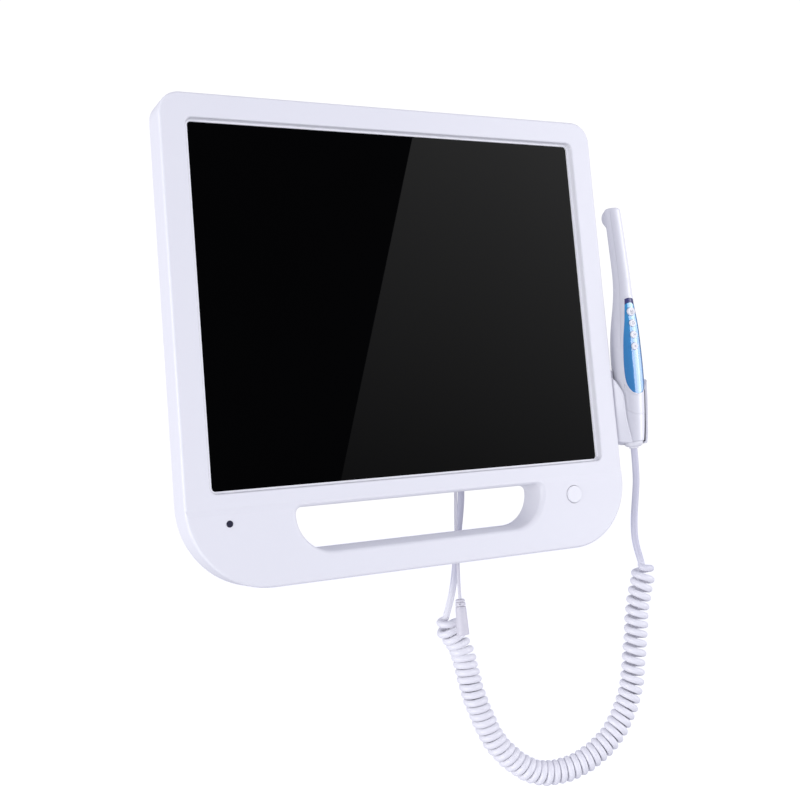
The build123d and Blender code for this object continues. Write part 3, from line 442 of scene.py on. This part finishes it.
LEAD = [
    (212.3, -55.5, -127.1), (212.3, -55.5, -153.0), (209.4, -54.8, -171.5),
    (205.8, -53.8, -191.5), (203.8, -54.4, -209.0), (204.8, -57.2, -224.0),
]
COIL = [
    (208.4, -57.2, -237.0), (204.4, -55.0, -251.0), (199.6, -52.4, -271.0),
    (196.9, -51.2, -291.0), (193.2, -50.2, -311.0), (189.6, -49.2, -331.0),
    (180.6, -46.7, -353.5), (166.5, -42.9, -373.0), (146.5, -37.3, -387.5),
    (124.0, -31.1, -394.5), (103.0, -25.2, -394.3), (84.5, -20.0, -382.5),
    (69.5, -15.9, -365.0), (60.5, -13.3, -343.0), (54.3, -11.6, -321.0),
    (51.6, -8.7, -300.5), (50.6, -7.6, -288.5), (46.2, -6.4, -277.5), (40.0, -5.0, -268.5),
]
TAIL = [
    (37.8, -3.8, -260.5), (44.8, -4.0, -245.5), (49.3, -5.6, -228.2),
    (51.6, -7.4, -211.6), (54.0, -9.8, -192.5), (57.6, -11.0, -173.0),
    (60.0, -12.0, -156.0), (60.0, -12.0, -141.1),
]
POWER = [
    (48.0, -23.5, -141.1), (48.0, -23.5, -154.0), (45.9, -23.6, -173.0),
    (44.2, -23.9, -193.0), (43.9, -24.2, -213.0), (42.6, -24.5, -230.0),
    (42.6, -24.5, -241.9),
]
WIRE = 5.8
MEAN_R = 7.35


def curly_path():
    """The wire's own line: the lead, the turns about the centreline, the tail."""
    centre = spline_points([tuple(c * MM for c in p) for p in LEAD + COIL + TAIL])
    line, s = resample(centre, 0.00005)
    t, n, b = frames(line)
    # where the turns begin and end, by the line's nearest points
    start = s[np.argmin(np.linalg.norm(line - np.array(TURNS_FROM) * MM, axis=1))]
    end = s[np.argmin(np.linalg.norm(line - np.array(TURNS_TO) * MM, axis=1))]
    u = np.clip((s - start) / (end - start), 0.0, 1.0)
    # pitch: open where the coil carries its own weight, closed further on
    pitch = np.interp(u, [0.0, 0.03, 0.22, 0.34, 0.5, 0.9, 1.0], PITCH) * MM

    def ease(x):
        x = np.clip(x, 0.0, 1.0)
        return x * x * (3 - 2 * x)

    rate = ease((s - start) / (6.5 * MM)) * ease((end - s) / (6.5 * MM)) / pitch
    turns = np.concatenate(([0.0], np.cumsum((rate[1:] + rate[:-1]) / 2 * np.diff(s))))
    # the last turn leaves the coil on the side where the tail comes down
    last = int(np.searchsorted(turns, turns[-1] - 0.22))
    side = np.array((-0.888, -0.25, 0.0))
    want = math.atan2(side @ b[last], side @ n[last])
    extra = ((math.radians(PHASE) - want) / (2.0 * math.pi) - turns[last]) % 1.0
    turns = turns * (1.0 + (extra - (extra > 0.5)) / turns[last])
    total = turns[-1]
    k = ease((s - start) / (8.0 * MM)) * ease((end - s) / (7.0 * MM))
    k = k * (1.0 + 0.30 * np.exp(-((end - s - 6.0 * MM) / (4.0 * MM)) ** 2))
    # uneven turns: slow wander of the radius
    wander = 1.0 + 0.022 * np.sin(turns * 2.1 + 0.7) + 0.015 * np.sin(turns * 5.3)
    radius = MEAN_R * MM * k * wander
    phase = math.radians(PHASE) - 2.0 * math.pi * turns
    wire = line + radius[:, None] * (np.cos(phase)[:, None] * n + np.sin(phase)[:, None] * b)
    # keep only as many points as the wire's bends need
    seg = np.linalg.norm(np.diff(wire, axis=0), axis=1)
    ws = np.concatenate(([0.0], np.cumsum(seg)))
    m = int(ws[-1] / 0.0016)
    tt = np.linspace(0.0, ws[-1], m + 1)
    path = np.stack([np.interp(tt, ws, wire[:, i]) for i in range(3)], 1)
    return path, ws[-1], total


PHASE = 85.0
PITCH = [7.8, 7.9, 8.0, 6.6, 6.12, 6.12, 6.6]
TURNS_FROM = (206.0, -57.2, -229.0)
TURNS_TO = (39.6, -3.8, -258.0)
path, wire_length, turn_count = curly_path()
print("curly cord", round(wire_length, 4), "m,", round(float(turn_count), 2), "turns")
curly = tube("curly_cord", path, WIRE / 2 * MM, 14)
curly.data.materials.append(cord_m)
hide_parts("curly_cord_lead", "curly_cord_coil", "curly_cord_tail")
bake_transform(curly)


def power_lead():
    cu = bpy.data.curves.new("power_cord", "CURVE")
    cu.dimensions = "3D"
    cu.resolution_u = 16
    cu.bevel_depth = 1.35 * MM
    cu.bevel_resolution = 5
    cu.use_fill_caps = True
    s = cu.splines.new("NURBS")
    s.points.add(len(POWER) - 1)
    for p, q in zip(s.points, POWER):
        p.co = (q[0] * MM, q[1] * MM, q[2] * MM, 1.0)
    s.order_u = 3
    s.use_endpoint_u = True
    o = bpy.data.objects.new("power_cord", cu)
    scene.collection.objects.link(o)
    cu.materials.append(lead_m)
    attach(o, "monitor")
    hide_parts("power_lead")
    return o


power_lead()


# -------------------------------------------------- plain marks on the buttons
mark_m = moulded("button_mark", (0.30, 0.31, 0.36), 0.5)


def mark(number, strokes):
    """Flat grey marks that ride on a handpiece button, a hair above its face."""
    piece = "handpiece_button_%d" % number
    lo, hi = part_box(piece)
    cx, cz, y = (lo[0] + hi[0]) / 2, (lo[2] + hi[2]) / 2, lo[1]
    bm = bmesh.new()
    for pts, width, closed in strokes:
        pts = [np.array(q, float) for q in pts]
        count = len(pts)
        sides = []
        for i, q in enumerate(pts):
            before = pts[i - 1] if (i or closed) else q
            after = pts[(i + 1) % count] if (i < count - 1 or closed) else q
            d = after - before
            d = d / np.linalg.norm(d)
            nrm = np.array((-d[1], d[0])) * width / 2
            sides.append((q + nrm, q - nrm))
        top = [[bm.verts.new((cx + v[0] * MM, y - 0.04 * MM, cz + v[1] * MM)) for v in pair] for pair in sides]
        low = [[bm.verts.new((cx + v[0] * MM, y + 0.02 * MM, cz + v[1] * MM)) for v in pair] for pair in sides]
        for i in range(count if closed else count - 1):
            j = (i + 1) % count
            bm.faces.new((top[i][0], top[j][0], top[j][1], top[i][1]))
            bm.faces.new((low[i][1], low[j][1], low[j][0], low[i][0]))
            bm.faces.new((top[i][0], low[i][0], low[j][0], top[j][0]))
            bm.faces.new((top[i][1], top[j][1], low[j][1], low[i][1]))
        if not closed:
            for i in (0, count - 1):
                bm.faces.new((top[i][0], top[i][1], low[i][1], low[i][0]))
    bmesh.ops.recalc_face_normals(bm, faces=bm.faces)
    me = bpy.data.meshes.new("mark_%d" % number)
    bm.to_mesh(me)
    bm.free()
    o = bpy.data.objects.new("mark_%d" % number, me)
    scene.collection.objects.link(o)
    me.materials.append(mark_m)
    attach(o, piece)


def circle(r, n=28, start=0.0, turn=360.0, dz=0.0):
    k = n if turn >= 360.0 else n + 1
    return [(r * math.cos(math.radians(start + turn * i / n)), dz + r * math.sin(math.radians(start + turn * i / n)))
            for i in range(k)]


mark(1, [(circle(1.45, start=-240.0, turn=300.0), 0.42, False), (circle(0.42, 14), 0.40, True),
         ([(-1.5, -2.15), (1.5, -2.15)], 0.40, False)])
mark(2, [(circle(1.15), 0.38, True)])
mark(3, [([(-0.85, -0.9), (0.65, 0.0), (-0.85, 0.9)], 0.42, False), ([(1.05, -0.9), (1.05, 0.9)], 0.36, False)])
mark(4, [([(-0.9, -0.9), (0.9, 0.9)], 0.40, False), ([(-0.9, 0.9), (0.9, -0.9)], 0.40, False)])


# ------------------------------------------------------ floor, light, backdrop
def stage():
    me = bpy.data.meshes.new("floor")
    bm = bmesh.new()
    r = 14.0
    vs = [bm.verts.new((r * math.cos(a), r * math.sin(a), -0.95)) for a in np.linspace(0, 2 * math.pi, 64, endpoint=False)]
    bm.faces.new(vs)
    bm.to_mesh(me)
    bm.free()
    floor = bpy.data.objects.new("floor", me)
    scene.collection.objects.link(floor)
    m = Mat("floor")
    m.set(Base_Color=m.mix(m.noise(2.0), (0.9, 0.9, 0.9), (0.92, 0.92, 0.92)))
    m.bsdf.inputs["Roughness"].default_value = 0.9
    m.bsdf.inputs["Emission Color"].default_value = (1.0, 1.0, 1.0, 1.0)
    m.bsdf.inputs["Emission Strength"].default_value = 0.55
    me.materials.append(m.m)
    floor.visible_diffuse = False
    floor.visible_glossy = False

    world = bpy.data.worlds.new("studio")
    scene.world = world
    world.use_nodes = True
    nt = world.node_tree
    nt.nodes.clear()
    out = nt.nodes.new("ShaderNodeOutputWorld")
    seen = nt.nodes.new("ShaderNodeBackground")
    seen.inputs[0].default_value = (1.0, 1.0, 1.0, 1.0)
    seen.inputs[1].default_value = 1.05
    fill = nt.nodes.new("ShaderNodeBackground")
    fill.inputs[0].default_value = (0.57, 0.575, 0.69, 1.0)
    fill.inputs[1].default_value = FILL
    pick = nt.nodes.new("ShaderNodeMixShader")
    path_node = nt.nodes.new("ShaderNodeLightPath")
    nt.links.new(path_node.outputs["Is Camera Ray"], pick.inputs[0])
    nt.links.new(fill.outputs[0], pick.inputs[1])
    nt.links.new(seen.outputs[0], pick.inputs[2])
    nt.links.new(pick.outputs[0], out.inputs[0])


FILL = 0.95


def area(name, where, size, power, aim=None, axes=None, color=(1.0, 1.0, 1.0), only=None, without=None):
    """A softbox. only and without name the pieces that it lights or leaves out."""
    data = bpy.data.lights.new(name, "AREA")
    data.shape = "RECTANGLE"
    data.size, data.size_y = size
    data.energy = power
    data.color = color
    o = bpy.data.objects.new(name, data)
    scene.collection.objects.link(o)
    o.rotation_mode = "QUATERNION"
    if axes:
        x, y = Vector(axes[0]).normalized(), Vector(axes[1]).normalized()
        m = Matrix((x, y, x.cross(y))).transposed()
        o.rotation_quaternion = m.to_quaternion()
    else:
        o.rotation_quaternion = (Vector(aim) - Vector(where)).to_track_quat("-Z", "Y")
    o.location = where
    group = bpy.data.collections.new(name + "_lit")
    for piece in only or without or []:
        group.objects.link(piece)
    if only or without:
        o.light_linking.receiver_collection = group
        if without:
            for c in group.collection_objects:
                c.light_linking.link_state = "EXCLUDE"
    return o


stage()
glass = nodes["screen_glass"]
hand = [nodes[n] for n in ("handpiece_front_shell", "handpiece_rear_shell", "tail_cap", "control_panel",
                           "indicator_window")]
area("left_box", (-2.2, -0.5, -0.35), (1.6, 1.8), 37.0, aim=(0.0, 0.0, -0.05), without=[glass] + hand)
area("left_fill", (-2.2, -0.5, -0.35), (1.6, 1.8), 12.0, aim=(0.0, 0.0, -0.05), only=hand)
area("right_box", (1.7, -1.35, 0.25), (1.3, 2.2), 23.5, aim=(0.2, -0.05, -0.05), without=[glass])
area("right_strip", (1.7, -1.0, 0.0), (0.5, 1.8), 5.0, aim=(0.21, -0.05, -0.05),
     only=hand + [nodes["handpiece_holder"]])
area("top_box", (-0.2, -0.9, 2.0), (1.8, 1.2), 2.0, aim=(0.0, 0.0, 0.0), without=[glass])
area("low_box", (-0.7, -1.2, -1.1), (1.6, 0.9), 5.5, aim=(-0.1, 0.0, -0.25), without=[glass])
sheen = area("panel_card", (1.12, -0.75, 0.05), (2.2, 1.6), 64.0,
             axes=((0.57, 0.82, 0.0), (0.0, 0.0, 1.0)), only=[nodes["control_panel"]])
sheen.visible_diffuse = False
card = area("screen_card", (1.10, -1.5, 0.1825), (0.80, 1.15), 24.0,
            axes=((0.9522, 0.0, -0.3056), (0.3056, 0.0, 0.9522)), only=[glass])
# the bezel and its gasket don't shade the card's reflection
shading = bpy.data.collections.new("screen_card_shading")
for piece in (nodes["front_bezel"], nodes["screen_gasket"]):
    shading.objects.link(piece)
card.light_linking.blocker_collection = shading
for c in shading.collection_objects:
    c.light_linking.link_state = "EXCLUDE"


def falloff(light, channel, lo, hi):
    """Let a softbox fade evenly from one edge to the other."""
    light.data.use_nodes = True
    nt = light.data.node_tree
    em = next(n for n in nt.nodes if n.type == "EMISSION")
    geo = nt.nodes.new("ShaderNodeNewGeometry")
    sep = nt.nodes.new("ShaderNodeSeparateXYZ")
    nt.links.new(geo.outputs["Parametric"], sep.inputs[0])
    fall = nt.nodes.new("ShaderNodeMapRange")
    fall.inputs["To Min"].default_value = lo
    fall.inputs["To Max"].default_value = hi
    nt.links.new(sep.outputs[channel], fall.inputs["Value"])
    nt.links.new(fall.outputs[0], em.inputs["Strength"])


falloff(card, 1, 0.12, 1.0)
falloff(sheen, 0, 1.0, 0.3)
scene.view_settings.view_transform = "Standard"
scene.view_settings.look = "None"
scene.view_settings.exposure = 0.0
